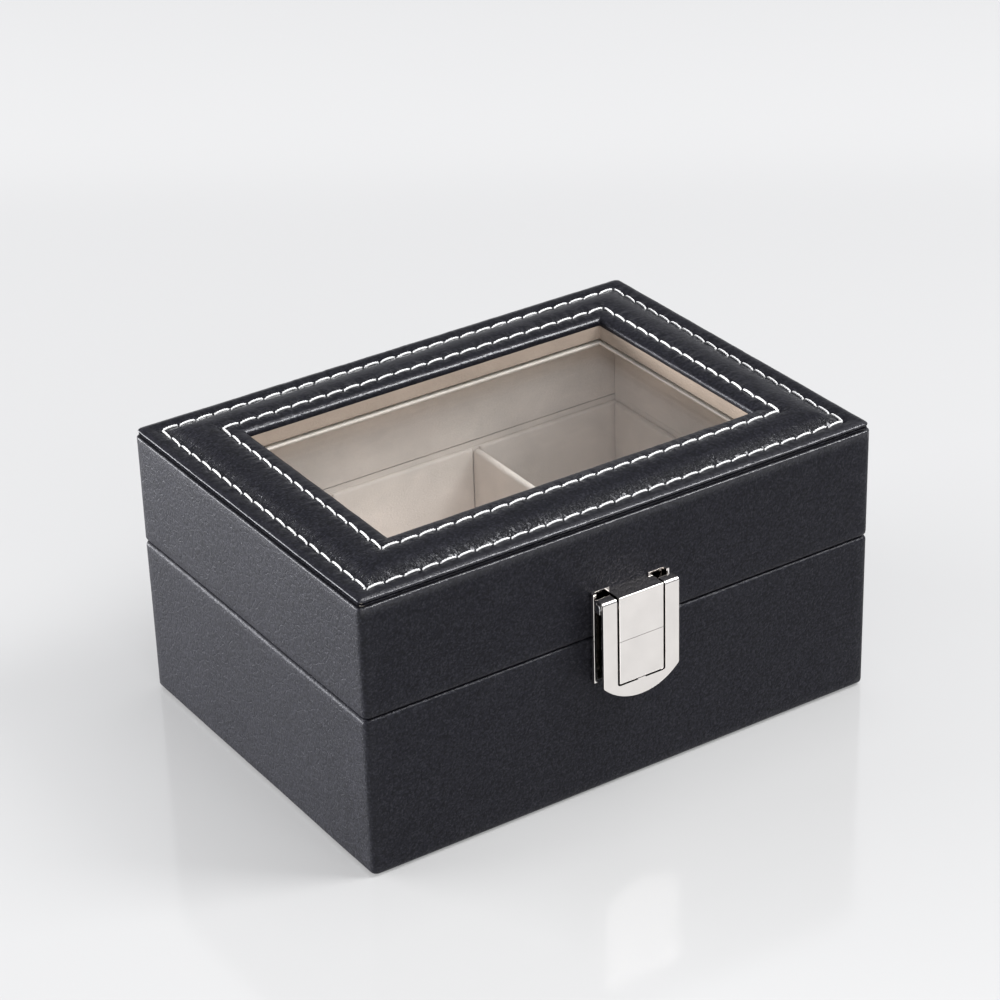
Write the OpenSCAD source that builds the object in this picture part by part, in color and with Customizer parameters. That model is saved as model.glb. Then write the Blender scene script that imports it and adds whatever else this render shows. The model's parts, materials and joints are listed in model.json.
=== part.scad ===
// Watch box: leather-covered base and lid, padded top with a window, three velvet compartments.
// Millimetres. The origin is the middle of the underside. +X runs along the front edge, +Y to
// the back and +Z up. An "inset" is a distance in from the upright outer faces, on all four sides.

/* [Box] */
// Length along the front
box_length = 160; // [150:1:200]
// Depth from front to back
box_depth = 116; // [110:1:150]
// Height of the parting line between base and lid
parting_height = 47.2; // [46:0.2:60]
// Height of the lid's walls above the parting line
lid_wall_height = 32.2; // [31:0.2:45]
// Radius of the upright outer corners
corner_radius = 2; // [1.4:0.1:3.5]
// Gap between the rims of the closed lid and the base
rim_gap = 0.2; // [0.1:0.05:0.3]

/* [Layers] */
// Thickness of the leather, and of the hinge leaves that take its place in the rims
leather = 0.8; // [0.6:0.1:1]
// Thickness of the wall boards
board = 4; // [4:0.5:6]
// Thickness of the floor board
floor_board = 3; // [2:0.5:5]
// Thickness of the lining panels in the base
base_lining = 2.2; // [1.6:0.1:3]
// Thickness of the lining panels in the lid
lid_lining = 1; // [0.8:0.1:2]
// Thickness of the lining on the floor
floor_lining = 1.5; // [1:0.1:3]
// Thickness of the cloth pad under the base
underside_pad = 0.6; // [0.4:0.1:1.5]

/* [Compartments] */
// Thickness of a divider
divider = 2.6; // [2:0.1:4]
// Depth of the groove that each end of a divider stands in
divider_groove = 0.8; // [0.4:0.1:1.2]
// How far the base linings end below the parting line
base_lining_drop = 1.6; // [0.6:0.1:4]
// How far the dividers end below the parting line
divider_drop = 2; // [0.6:0.1:8]

/* [Top] */
// Width of the padded frame round the window
frame_width = 22.5; // [22:0.5:30]
// Thickness of the board that holds the pane
window_board_depth = 4.8; // [4.4:0.1:8]
// Thickness of the board's lip above the pane
window_lip = 2.8; // [1:0.1:3.3]
// Thickness of the pane
pane_depth = 1; // [0.8:0.1:1.6]
// How far the pane reaches past the opening
pane_overlap = 5; // [3:0.5:8]
// Thickness of the card under the foam
top_card_depth = 1; // [0.8:0.1:2]
// Thickness of the foam under the leather
top_foam_depth = 1.4; // [0.6:0.1:4]
// Inset of the padded cover's outer edge
cover_inset = 0.5; // [0.3:0.1:1]
// Thickness of the velvet-covered ring under the window board
top_lining_depth = 1; // [0.8:0.1:1.5]
// How far that ring stands back from the opening
top_lining_setback = 1.5; // [0.5:0.1:4]

/* [Stitching] */
// Inset of the outer row of stitches
outer_row_inset = 5.5; // [4:0.5:8]
// Inset of the inner row of stitches
inner_row_inset = 17.5; // [14:0.5:20]
// Least distance from one stitch to the next
stitch_pitch = 5.3; // [5:0.1:8]
// Length of one stitch
stitch_length = 4.5; // [3:0.1:4.6]
// Thickness of the thread
thread = 0.7; // [0.4:0.1:1]

/* [Hinges] */
// Length of a hinge
hinge_length = 20; // [16:1:28]
// Distance from the middle of the box to the middle of a hinge
hinge_offset = 45; // [35:1:55]
// Radius of the knuckles
knuckle_radius = 1.6; // [1.5:0.1:1.7]
// Distance of the hinge axis behind the back face
hinge_setback = 1.8; // [1.8:0.1:2.2]
// Radius of the hinge pin
hinge_pin_radius = 0.8; // [0.6:0.05:0.9]

/* [Latch] */
// Width of the latch
latch_width = 24; // [22:1:28]
// Width of the raised blocks
block_width = 14; // [12:0.5:16]
// How far the blocks stand out from the leather
block_depth = 4.9; // [4.8:0.05:5.2]
// Thickness of the latch's sheet metal
sheet = 0.9; // [0.8:0.05:0.9]
// Depth of the flanges at the sides of the plates
flange_depth = 1.8; // [1.2:0.05:1.9]
// Height of the lid plate above the parting line
plate_rise = 13.8; // [13:0.1:15]
// Depth of the base plate below the parting line
plate_drop = 12.7; // [12:0.1:15]
// Depth of the hasp's rounded end below the parting line
hasp_drop = 17.8; // [17.5:0.1:22]
// Radius of the rolled eyes at the top of the hasp
eye_radius = 1.9; // [1.8:0.05:1.95]
// Radius of the hasp's pin
latch_pin_radius = 0.55; // [0.45:0.05:0.6]

/* [Hidden] */
$fn = 48;

// Which of a pair a piece is
LEFT = -1;
RIGHT = 1;
FRONT = -1;
BACK = 1;

// Colours
LEATHER = [0.1, 0.1, 0.12];
VELVET = [0.74, 0.68, 0.62];
WOOD = [0.72, 0.56, 0.4];
CARD = [0.62, 0.6, 0.56];
FOAM = [0.86, 0.84, 0.76];
CLOTH = [0.13, 0.13, 0.14];
THREAD = [0.93, 0.93, 0.9];
NICKEL = [0.82, 0.8, 0.77];
STEEL = [0.62, 0.62, 0.64];
CLEAR = [0.8, 0.88, 0.9, 0.35];

// Clearances, how far a cut runs past a face, and the least radius worth drawing
running = 0.05;
fixed = 0.03;
cut = 1;
least_radius = 0.05;

// The box in plan
half_x = box_length / 2;
half_y = box_depth / 2;
wall = leather + board;

// Levels of the base, from the underside up
shell_bottom = underside_pad;
boards_bottom = shell_bottom + leather;
floor_top = boards_bottom + floor_board;
floor_lining_top = floor_top + floor_lining;
base_rim = parting_height - rim_gap / 2;
base_boards_top = base_rim - leather;
base_lining_top = parting_height - base_lining_drop;
divider_top = parting_height - divider_drop;
leather_turn_under = 14;
pad_inset = 3;

// Levels of the lid, from the rim up
lid_rim = parting_height + rim_gap / 2;
lid_boards_bottom = lid_rim + leather;
wall_top = parting_height + lid_wall_height;
lid_boards_top = wall_top - leather;
lid_lining_lift = 0.3;
lid_lining_bottom = lid_rim + lid_lining_lift;
window_board_bottom = wall_top - window_board_depth;
pane_top = wall_top - window_lip;
pane_bottom = pane_top - pane_depth;
top_lining_bottom = window_board_bottom - top_lining_depth;
card_top = wall_top + top_card_depth;
foam_top = card_top + top_foam_depth;
cover_top = foam_top + leather;
facing_rise = 0.4;
facing_top = card_top + facing_rise;

// The window, as insets
rebate_inset = frame_width - pane_overlap;
pane_clearance = 0.1;
pane_inset = rebate_inset + pane_clearance;
board_opening_inset = frame_width - leather;
filling_inset = cover_inset + leather;

// The compartments
base_inside = wall + base_lining;
compartment = (box_length - 2 * base_inside - 2 * divider) / 3;
divider_offset = (compartment + divider) / 2;

// The hinges
hinge_y = half_y + hinge_setback;
leaf_clearance = 0.2;
leaf_depth = wall - leaf_clearance;
knuckle_gap = 0.2;
mid_knuckle_share = 0.4;
mid_knuckle = hinge_length * mid_knuckle_share;
end_knuckle = (hinge_length - mid_knuckle) / 2 - knuckle_gap;
hinge_head_radius = 1.3;
hinge_head = 0.4;
screw_spread = 6;
screw_y = half_y - leather - board / 2;
screw_radius = 0.7;
screw_head_radius = 1.4;
screw_length = 8;

// The latch. The hasp's plate lies just in front of the blocks, so it lifts away with the lid.
front_y = -half_y;
hasp_gap = 0.15;
hasp_back = front_y - block_depth - hasp_gap;
hasp_front = hasp_back - sheet;
pin_y = hasp_front + eye_radius;
pin_rise = 11;
pin_z = parting_height + pin_rise;
arm_gap = 0.6;
hasp_opening = block_width / 2 + arm_gap;
bar_drop = 0.5;
shoulder_rise = 0.8;
hasp_bar_top = parting_height - plate_drop - bar_drop;
hasp_shoulder = hasp_bar_top + shoulder_rise;
hasp_bottom = parting_height - hasp_drop;
nib = 1.2;
nib_root = 0.3;
ear_height = 0.7;
ear_overlap = 0.8;
plate_clearance = 0.06;
latch_head_radius = 1;
latch_head = 0.4;
brad_radius = 0.5;
brad_head_radius = 1.0;
brad_head = 0.35;
brad_depth = 3;
brad_margin = 2.8;
brad_x = latch_width / 2 - sheet - brad_margin;
lid_brad_rises = [2.6, 6.8];
base_brad_drops = [3.2, 9.4];
lid_brad_heights = [for (rise = lid_brad_rises) parting_height + rise];
base_brad_heights = [for (drop = base_brad_drops) parting_height - drop];

// ---------------------------------------------------------------- shapes

// The box's plan, moved in by an inset; the upright corners are round near the outside
module plan(inset) {
    x = half_x - inset;
    y = half_y - inset;
    r = corner_radius - inset;
    if (r > least_radius) {
        square([2 * x, 2 * (y - r)], center = true);
        square([2 * (x - r), 2 * y], center = true);
        for (sx = [LEFT, RIGHT], sy = [FRONT, BACK])
            translate([sx * (x - r), sy * (y - r)])
                circle(r);
    } else {
        square([2 * x, 2 * y], center = true);
    }
}

module slab(inset, bottom, top) {
    translate([0, 0, bottom])
        linear_extrude(top - bottom)
            plan(inset);
}

module ring(outer_inset, inner_inset, bottom, top) {
    translate([0, 0, bottom])
        linear_extrude(top - bottom)
            difference() {
                plan(outer_inset);
                plan(inner_inset);
            }
}

// A front or back panel between two insets, as long as the outer one
module long_panel(side, outer_inset, inner_inset, bottom, top) {
    length = 2 * (half_x - outer_inset);
    y = side == BACK ? half_y - inner_inset : outer_inset - half_y;
    translate([-length / 2, y, bottom])
        cube([length, inner_inset - outer_inset, top - bottom]);
}

// A left or right panel that fits between the front and back ones
module short_panel(side, outer_inset, inner_inset, bottom, top) {
    length = 2 * (half_y - inner_inset);
    x = side == RIGHT ? half_x - inner_inset : outer_inset - half_x;
    translate([x, -length / 2, bottom])
        cube([inner_inset - outer_inset, length, top - bottom]);
}

module long_board(side, bottom, top) {
    intersection() {
        long_panel(side, leather, wall, bottom, top);
        slab(leather, bottom - cut, top + cut);
    }
}

module rod_x(from, to, y, z, r) {
    translate([from, y, z])
        rotate([0, 90, 0])
            cylinder(h = to - from, r = r);
}

module box_between(low, high) {
    translate(low)
        cube(high - low);
}

// What belongs to the base, turned over to make the lid's: mirrored in the parting plane
module on_lid() {
    translate([0, 0, 2 * parting_height])
        mirror([0, 0, 1])
            children();
}

// ---------------------------------------------------------------- hinges

// Screws of the base leaves, driven down from the rim
module hinge_screws() {
    for (hinge = [LEFT, RIGHT], sx = [LEFT, RIGHT])
        translate([hinge * hinge_offset + sx * screw_spread, screw_y, base_rim - screw_length]) {
            cylinder(h = screw_length, r = screw_radius);
            translate([0, 0, screw_length - leather])
                cylinder(h = leather, r1 = screw_radius, r2 = screw_head_radius);
        }
}

module hinge_screw_holes() {
    for (hinge = [LEFT, RIGHT], sx = [LEFT, RIGHT])
        translate([hinge * hinge_offset + sx * screw_spread, screw_y, base_rim - screw_length - fixed])
            cylinder(h = screw_length + cut, r = screw_radius + fixed);
}

// The gap in the rim's leather where the leaves lie
module leaf_recesses() {
    for (hinge = [LEFT, RIGHT])
        box_between(
            [hinge * hinge_offset - hinge_length / 2 - fixed, half_y - wall - cut, base_boards_top],
            [hinge * hinge_offset + hinge_length / 2 + fixed, half_y + cut, base_rim + cut]
        );
}

// A leaf in the base's rim, with knuckles over the given stretches of its length
module hinge_leaf(x, knuckles) {
    difference() {
        union() {
            box_between(
                [x - hinge_length / 2, half_y - leaf_depth, base_boards_top],
                [x + hinge_length / 2, half_y, base_rim]
            );
            for (k = knuckles) {
                box_between(
                    [x + k[0], half_y - leather, base_boards_top],
                    [x + k[1], hinge_y, base_rim]
                );
                rod_x(x + k[0], x + k[1], hinge_y, parting_height, knuckle_radius);
            }
        }
        rod_x(x - hinge_length, x + hinge_length, hinge_y, parting_height, hinge_pin_radius + running);
        for (sx = [LEFT, RIGHT])
            translate([x + sx * screw_spread, screw_y, base_rim - leather])
                cylinder(h = leather, r1 = screw_radius + fixed, r2 = screw_head_radius + fixed);
    }
}

module base_leaf(side) {
    color(NICKEL)
        hinge_leaf(side * hinge_offset, [
            [-hinge_length / 2, -hinge_length / 2 + end_knuckle],
            [hinge_length / 2 - end_knuckle, hinge_length / 2]
        ]);
}

module lid_leaf(side) {
    color(NICKEL)
        on_lid()
            hinge_leaf(side * hinge_offset, [[-mid_knuckle / 2, mid_knuckle / 2]]);
}

module hinge_pin(side) {
    x = side * hinge_offset;
    end = hinge_length / 2;
    color(STEEL)
        union() {
            rod_x(x - end, x + end, hinge_y, parting_height, hinge_pin_radius);
            rod_x(x - end - hinge_head, x - end, hinge_y, parting_height, hinge_head_radius);
            rod_x(x + end, x + end + hinge_head, hinge_y, parting_height, hinge_head_radius);
        }
}

// ---------------------------------------------------------------- latch

// Brads at the given heights, driven in from the front through a plate
module brads(heights) {
    for (sx = [LEFT, RIGHT], z = heights)
        translate([sx * brad_x, front_y - sheet, z])
            rotate([-90, 0, 0]) {
                cylinder(h = sheet + leather + brad_depth, r = brad_radius);
                translate([0, 0, -brad_head])
                    cylinder(h = brad_head, r = brad_head_radius);
            }
}

module brad_holes(heights) {
    for (sx = [LEFT, RIGHT], z = heights)
        translate([sx * brad_x, front_y - sheet - cut, z])
            rotate([-90, 0, 0])
                cylinder(h = cut + sheet + leather + brad_depth + fixed, r = brad_radius + fixed);
}

// A plate with turned-up side flanges and the raised block in its middle
module latch_plate(bottom, top, block_bottom, block_top) {
    w = latch_width / 2;
    box_between([-w, front_y - sheet, bottom], [w, front_y, top]);
    for (sx = [LEFT, RIGHT])
        box_between(
            [sx * (w - sheet / 2) - sheet / 2, front_y - flange_depth, bottom],
            [sx * (w - sheet / 2) + sheet / 2, front_y, top]
        );
    box_between(
        [-block_width / 2, front_y - block_depth, block_bottom],
        [block_width / 2, front_y, block_top]
    );
}

module latch_base_plate() {
    bottom = parting_height - plate_drop;
    top = parting_height - plate_clearance;
    color(NICKEL)
        difference() {
            latch_plate(bottom, top, bottom, top);
            brad_holes(base_brad_heights);
        }
}

// The lid's plate rises past its block in two ears, and the block carries the hasp's pin
module latch_lid_plate() {
    bottom = parting_height + plate_clearance;
    top = parting_height + plate_rise;
    block_top = top - ear_height;
    w = latch_width / 2;
    notch = block_width / 2 - ear_overlap;
    color(NICKEL)
        difference() {
            latch_plate(bottom, top, bottom, block_top);
            box_between([-notch, front_y - sheet - cut, block_top], [notch, front_y + cut, top + cut]);
            rod_x(-w, w, pin_y, pin_z, latch_pin_radius + fixed);
            brad_holes(lid_brad_heights);
        }
}

module latch_pin() {
    end = latch_width / 2 + running;
    color(STEEL)
        union() {
            rod_x(-end, end, pin_y, pin_z, latch_pin_radius);
            rod_x(-end - latch_head, -end, pin_y, pin_z, latch_head_radius);
            rod_x(end, end + latch_head, pin_y, pin_z, latch_head_radius);
        }
}

// The hasp's plate seen from the front: straight sides, a bowed lower end and an open top
module hasp_outline() {
    w = latch_width / 2;
    bow = hasp_shoulder - hasp_bottom;
    bow_radius = (w * w + bow * bow) / (2 * bow);
    difference() {
        union() {
            translate([-w, hasp_shoulder])
                square([2 * w, pin_z - hasp_shoulder]);
            intersection() {
                translate([0, hasp_bottom + bow_radius])
                    circle(bow_radius);
                translate([-w, hasp_bottom - cut])
                    square([2 * w, hasp_shoulder - hasp_bottom + 2 * cut]);
            }
        }
        translate([-hasp_opening, hasp_bar_top])
            square([2 * hasp_opening, pin_z]);
    }
    translate([-nib, hasp_bar_top - nib])
        square([2 * nib, nib + nib_root]);
}

module latch_hasp() {
    w = latch_width / 2;
    color(NICKEL)
        difference() {
            union() {
                translate([0, hasp_back, 0])
                    rotate([90, 0, 0])
                        linear_extrude(sheet)
                            hasp_outline();
                rod_x(-w, -hasp_opening, pin_y, pin_z, eye_radius);
                rod_x(hasp_opening, w, pin_y, pin_z, eye_radius);
            }
            rod_x(-w - cut, w + cut, pin_y, pin_z, latch_pin_radius + running);
        }
}

// ---------------------------------------------------------------- base

module base_front_board() {
    color(WOOD)
        difference() {
            long_board(FRONT, boards_bottom, base_boards_top);
            brad_holes(base_brad_heights);
        }
}

module base_back_board() {
    color(WOOD)
        difference() {
            long_board(BACK, boards_bottom, base_boards_top);
            hinge_screw_holes();
        }
}

module base_side_board(side) {
    color(WOOD)
        short_panel(side, leather, wall, boards_bottom, base_boards_top);
}

module base_floor_board() {
    color(WOOD)
        slab(wall, boards_bottom, floor_top);
}

// One skin round the walls, turned over the rim and under the bottom
module base_leather_wrap() {
    color(LEATHER)
        difference() {
            union() {
                ring(0, leather, shell_bottom, base_rim);
                ring(0, wall, base_boards_top, base_rim);
                ring(0, leather_turn_under, shell_bottom, boards_bottom);
            }
            leaf_recesses();
            brad_holes(base_brad_heights);
        }
}

// The pad fills the space inside the turned-under leather as well
module base_underside_pad() {
    color(CLOTH)
        union() {
            slab(pad_inset, 0, shell_bottom);
            slab(leather_turn_under, 0, boards_bottom);
        }
}

// A front or back lining, grooved for the ends of the dividers
module base_long_lining(side) {
    face = half_y - base_inside;
    groove = divider + 2 * fixed;
    color(VELVET)
        difference() {
            long_panel(side, wall, base_inside, floor_lining_top, base_lining_top);
            for (sx = [LEFT, RIGHT])
                translate([sx * divider_offset, side * face, base_lining_top / 2])
                    cube([groove, 2 * divider_groove, 2 * base_lining_top], center = true);
        }
}

module base_side_lining(side) {
    color(VELVET)
        short_panel(side, wall, base_inside, floor_lining_top, base_lining_top);
}

module base_floor_lining() {
    color(VELVET)
        slab(wall, floor_top, floor_lining_top);
}

module compartment_divider(side) {
    reach = half_y - base_inside + divider_groove - fixed;
    color(VELVET)
        box_between(
            [side * divider_offset - divider / 2, -reach, floor_lining_top],
            [side * divider_offset + divider / 2, reach, divider_top]
        );
}

module hinge_base_screws() {
    color(STEEL)
        hinge_screws();
}

module latch_base_brads() {
    color(STEEL)
        brads(base_brad_heights);
}

// ---------------------------------------------------------------- lid

module lid_front_board() {
    color(WOOD)
        difference() {
            long_board(FRONT, lid_boards_bottom, lid_boards_top);
            brad_holes(lid_brad_heights);
        }
}

module lid_back_board() {
    color(WOOD)
        difference() {
            long_board(BACK, lid_boards_bottom, lid_boards_top);
            on_lid()
                hinge_screw_holes();
        }
}

module lid_side_board(side) {
    color(WOOD)
        short_panel(side, leather, wall, lid_boards_bottom, lid_boards_top);
}

module lid_leather_wrap() {
    color(LEATHER)
        difference() {
            union() {
                ring(0, leather, lid_rim, wall_top);
                ring(0, wall, lid_rim, lid_boards_bottom);
                ring(0, wall, lid_boards_top, wall_top);
            }
            on_lid()
                leaf_recesses();
            brad_holes(lid_brad_heights);
        }
}

// The opening is rebated from below for the pane and the strips that hold it
module window_board() {
    color(WOOD)
        union() {
            ring(wall, rebate_inset, window_board_bottom, wall_top);
            ring(wall, board_opening_inset, pane_top, wall_top);
        }
}

module window_pane() {
    color(CLEAR)
        slab(pane_inset, pane_bottom, pane_top);
}

// A strip along one side of the opening, mitred where it meets its neighbours
module retainer_strip(outer, inner) {
    color(VELVET)
        translate([0, 0, window_board_bottom])
            linear_extrude(pane_bottom - window_board_bottom)
                polygon([outer[0], outer[1], inner[1], inner[0]]);
}

// Corner of the plan at an inset
function corner(sx, sy, inset) = [sx * (half_x - inset), sy * (half_y - inset)];

module retainer_long_strip(side) {
    retainer_strip(
        [corner(LEFT, side, pane_inset), corner(RIGHT, side, pane_inset)],
        [corner(LEFT, side, frame_width), corner(RIGHT, side, frame_width)]
    );
}

module retainer_short_strip(side) {
    retainer_strip(
        [corner(side, FRONT, pane_inset), corner(side, BACK, pane_inset)],
        [corner(side, FRONT, frame_width), corner(side, BACK, frame_width)]
    );
}

module top_card() {
    color(CARD)
        ring(filling_inset, board_opening_inset, wall_top, card_top);
}

module top_foam() {
    color(FOAM)
        ring(filling_inset, board_opening_inset, card_top, foam_top);
}

// Velvet round the window's edge, from the pane up to the leather
module window_facing() {
    color(VELVET)
        ring(board_opening_inset, frame_width, pane_top, facing_top);
}

// Leather over the foam, turned down round the outside and round the foam's edge at the window
module top_leather_cover() {
    color(LEATHER)
        union() {
            ring(cover_inset, filling_inset, wall_top, cover_top);
            ring(cover_inset, frame_width, foam_top, cover_top);
            ring(board_opening_inset, frame_width, facing_top, cover_top);
        }
}

// Stitches along one straight side of a row, between its corners
module stitch_line(length) {
    count = floor(length / stitch_pitch);
    pitch = length / count;
    for (i = [0 : count - 1])
        translate([(i + 0.5) * pitch - length / 2, 0, cover_top + thread / 4])
            cube([stitch_length, thread, thread / 2], center = true);
}

module stitch_row(inset) {
    for (side = [FRONT, BACK])
        translate([0, side * (half_y - inset), 0])
            stitch_line(box_length - 2 * inset);
    for (side = [LEFT, RIGHT])
        translate([side * (half_x - inset), 0, 0])
            rotate([0, 0, 90])
                stitch_line(box_depth - 2 * inset);
}

module outer_stitching() {
    color(THREAD)
        stitch_row(outer_row_inset);
}

module inner_stitching() {
    color(THREAD)
        stitch_row(inner_row_inset);
}

module lid_top_lining() {
    color(VELVET)
        ring(wall, frame_width - top_lining_setback, top_lining_bottom, window_board_bottom);
}

module lid_long_lining(side) {
    color(VELVET)
        long_panel(side, wall, wall + lid_lining, lid_lining_bottom, top_lining_bottom);
}

module lid_side_lining(side) {
    color(VELVET)
        short_panel(side, wall, wall + lid_lining, lid_lining_bottom, top_lining_bottom);
}

module hinge_lid_screws() {
    color(STEEL)
        on_lid()
            hinge_screws();
}

module latch_lid_brads() {
    color(STEEL)
        brads(lid_brad_heights);
}

// ---------------------------------------------------------------- nodes

base_front_board();
base_back_board();
base_side_board(LEFT);  // base_left_board
base_side_board(RIGHT);  // base_right_board
base_floor_board();
base_leather_wrap();
base_underside_pad();
base_long_lining(FRONT);  // base_front_lining
base_long_lining(BACK);  // base_back_lining
base_side_lining(LEFT);  // base_left_lining
base_side_lining(RIGHT);  // base_right_lining
base_floor_lining();
compartment_divider(LEFT);  // left_divider
compartment_divider(RIGHT);  // right_divider
base_leaf(LEFT);  // hinge_base_leaf_left
base_leaf(RIGHT);  // hinge_base_leaf_right
hinge_pin(LEFT);  // hinge_pin_left
hinge_pin(RIGHT);  // hinge_pin_right
hinge_base_screws();
latch_base_plate();
latch_base_brads();
lid_front_board();
lid_back_board();
lid_side_board(LEFT);  // lid_left_board
lid_side_board(RIGHT);  // lid_right_board
lid_leather_wrap();
window_board();
window_pane();
retainer_long_strip(FRONT);  // retainer_front_strip
retainer_long_strip(BACK);  // retainer_back_strip
retainer_short_strip(LEFT);  // retainer_left_strip
retainer_short_strip(RIGHT);  // retainer_right_strip
window_facing();
top_card();
top_foam();
top_leather_cover();
outer_stitching();
inner_stitching();
lid_top_lining();
lid_long_lining(FRONT);  // lid_front_lining
lid_long_lining(BACK);  // lid_back_lining
lid_side_lining(LEFT);  // lid_left_lining
lid_side_lining(RIGHT);  // lid_right_lining
lid_leaf(LEFT);  // hinge_lid_leaf_left
lid_leaf(RIGHT);  // hinge_lid_leaf_right
hinge_lid_screws();
latch_lid_plate();
latch_lid_brads();
latch_pin();
latch_hasp();
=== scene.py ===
"""The looks of a leather-covered watch box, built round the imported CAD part.

Shapes are worked out in millimetres in the CAD's own frame, and become metres when a mesh is made.
An inset is a distance in from the upright outer faces, on all four sides, as in the CAD.
"""

import json
import math
import random

import bmesh
import bpy
import numpy as np
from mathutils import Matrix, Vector, noise


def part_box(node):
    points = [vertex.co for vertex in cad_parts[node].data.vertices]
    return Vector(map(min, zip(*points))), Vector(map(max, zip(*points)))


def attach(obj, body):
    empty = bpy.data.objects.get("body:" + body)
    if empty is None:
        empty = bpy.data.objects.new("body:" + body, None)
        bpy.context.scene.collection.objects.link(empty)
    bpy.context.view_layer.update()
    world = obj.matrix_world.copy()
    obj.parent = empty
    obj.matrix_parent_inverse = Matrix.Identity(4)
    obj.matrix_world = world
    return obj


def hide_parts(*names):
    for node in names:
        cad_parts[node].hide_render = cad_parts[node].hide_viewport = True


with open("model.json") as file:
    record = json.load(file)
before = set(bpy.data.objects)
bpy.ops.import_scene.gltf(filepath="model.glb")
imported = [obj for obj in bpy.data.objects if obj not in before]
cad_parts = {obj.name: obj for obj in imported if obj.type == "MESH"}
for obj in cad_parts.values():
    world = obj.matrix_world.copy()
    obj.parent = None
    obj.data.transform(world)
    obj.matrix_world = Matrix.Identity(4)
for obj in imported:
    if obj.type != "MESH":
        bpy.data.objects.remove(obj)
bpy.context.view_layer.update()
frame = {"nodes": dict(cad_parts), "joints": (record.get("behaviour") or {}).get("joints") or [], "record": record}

MM = 0.001


# ------------ sizes, from the CAD


def low(node):
    return np.array(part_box(node)[0]) / MM


def high(node):
    return np.array(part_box(node)[1]) / MM


HALF_X, HALF_Y = high("base_leather_wrap")[:2]
CORNER = 2.0
LEATHER = HALF_X + low("base_left_board")[0]
WALL = HALF_X + high("base_left_board")[0]

SHELL_BOTTOM = low("base_leather_wrap")[2]
BOARDS_BOTTOM = low("base_front_board")[2]
BASE_LINING_TOP = high("base_front_lining")[2]
BASE_BOARDS_TOP = high("base_front_board")[2]
BASE_RIM = high("base_leather_wrap")[2]
LID_RIM = low("lid_leather_wrap")[2]
LID_BOARDS_BOTTOM = low("lid_front_board")[2]
LID_BOARDS_TOP = high("lid_front_board")[2]
WALL_TOP = high("lid_leather_wrap")[2]
WINDOW_BOARD_BOTTOM = low("window_board")[2]
TOP_LINING_BOTTOM = low("lid_top_lining")[2]
PANE_BOTTOM = low("window_pane")[2]
PANE_TOP = high("window_pane")[2]
CARD_TOP = high("top_card")[2]
FACING_TOP = high("window_facing")[2]

PANE_INSET = HALF_Y + low("window_pane")[1]
FRAME_WIDTH = HALF_Y + high("retainer_front_strip")[1]
BOARD_OPENING = FRAME_WIDTH - LEATHER
THREAD = high("outer_stitching")[2] - high("top_leather_cover")[2]
OUTER_ROW = HALF_Y + low("outer_stitching")[1] + THREAD
INNER_ROW = HALF_Y + low("inner_stitching")[1] + THREAD
STITCH_PITCH = 5.3
TURN_UNDER = 14.0  # how far the leather goes on under the bottom
GAP = 0.02  # between pieces that would otherwise lie in the same plane
SHORT_SIDE_SHINE = 0.1  # the shine of the short sides' folds, and of the wear and painted highlight on them, as a share of the long sides'


# ------------ meshes


def link(name, mesh):
    thing = bpy.data.objects.new(name, mesh)
    bpy.context.scene.collection.objects.link(thing)
    return thing


def in_metres(verts, faces):
    """A mesh in millimetres as a bmesh in metres, with double vertices joined."""
    bm = bmesh.new()
    made = [bm.verts.new(Vector(v) * MM) for v in np.reshape(verts, (-1, 3))]
    for f in faces:
        bm.faces.new([made[i] for i in f])
    bmesh.ops.remove_doubles(bm, verts=bm.verts, dist=1e-7)
    bmesh.ops.recalc_face_normals(bm, faces=bm.faces)
    return bm


def stored(name, bm):
    """The bmesh, used up, as an object in the scene."""
    mesh = bpy.data.meshes.new(name)
    bm.to_mesh(mesh)
    bm.free()
    return link(name, mesh)


def piece(name, verts, faces, body, slot, nodes=(), sharp=40):
    """A mesh in millimetres becomes a piece that rides on a body and stands for CAD nodes."""
    return finish_piece(name, in_metres(verts, faces), body, slot, nodes, sharp)


def finish_piece(name, bm, body, slot, nodes=(), sharp=40, flat=False):
    """Flat keeps the light on large flat faces even, next to their eased edges."""
    thing = stored(name, bm)
    thing.data.shade_smooth()
    thing.data.set_sharp_from_angle(angle=math.radians(sharp))
    if flat:
        even = thing.modifiers.new("even", "WEIGHTED_NORMAL")
        even.weight = 100
        even.keep_sharp = True
    thing.data.materials.append(MATERIALS[slot])
    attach(thing, body)
    if nodes:
        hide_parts(*nodes)
    return thing


def plan_loop(inset, radius, steps):
    """The plan moved in by an inset, anticlockwise from the front left: steps holds how many parts a
    long side, a short side and a corner are cut into."""
    long_steps, short_steps, arc_steps = steps
    x, y = HALF_X - inset, HALF_Y - inset
    r = max(radius, 0.02)
    ends = [
        ((r - x, -y), (x - r, -y), (x - r, r - y), long_steps),
        ((x, r - y), (x, y - r), (x - r, y - r), short_steps),
        ((x - r, y), (r - x, y), (r - x, y - r), long_steps),
        ((-x, y - r), (-x, r - y), (r - x, r - y), short_steps),
    ]
    points = []
    for quarter, (start, end, centre, count) in enumerate(ends):
        t = np.linspace(0, 1, count + 1)[:, None]
        points.append(np.array(start) * (1 - t) + np.array(end) * t)
        a = math.radians(90 * (quarter - 1)) + np.linspace(0, math.pi / 2, arc_steps + 1)[1:-1]
        points.append(np.column_stack([centre[0] + r * np.cos(a), centre[1] + r * np.sin(a)]))
    return np.vstack(points)


def outer_corner(inset):
    return max(CORNER - inset, 0.15)


def loft(profile, steps, corner=outer_corner):
    """The vertices, as rows round the box, of a closed profile of (inset, height) points, and the faces."""
    rows = []
    for inset, z in profile:
        loop = plan_loop(inset, corner(inset), steps)
        rows.append(np.column_stack([loop, np.full(len(loop), z)]))
    rows = np.array(rows)
    return rows, band_faces(len(rows), rows.shape[1], True, True)


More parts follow.
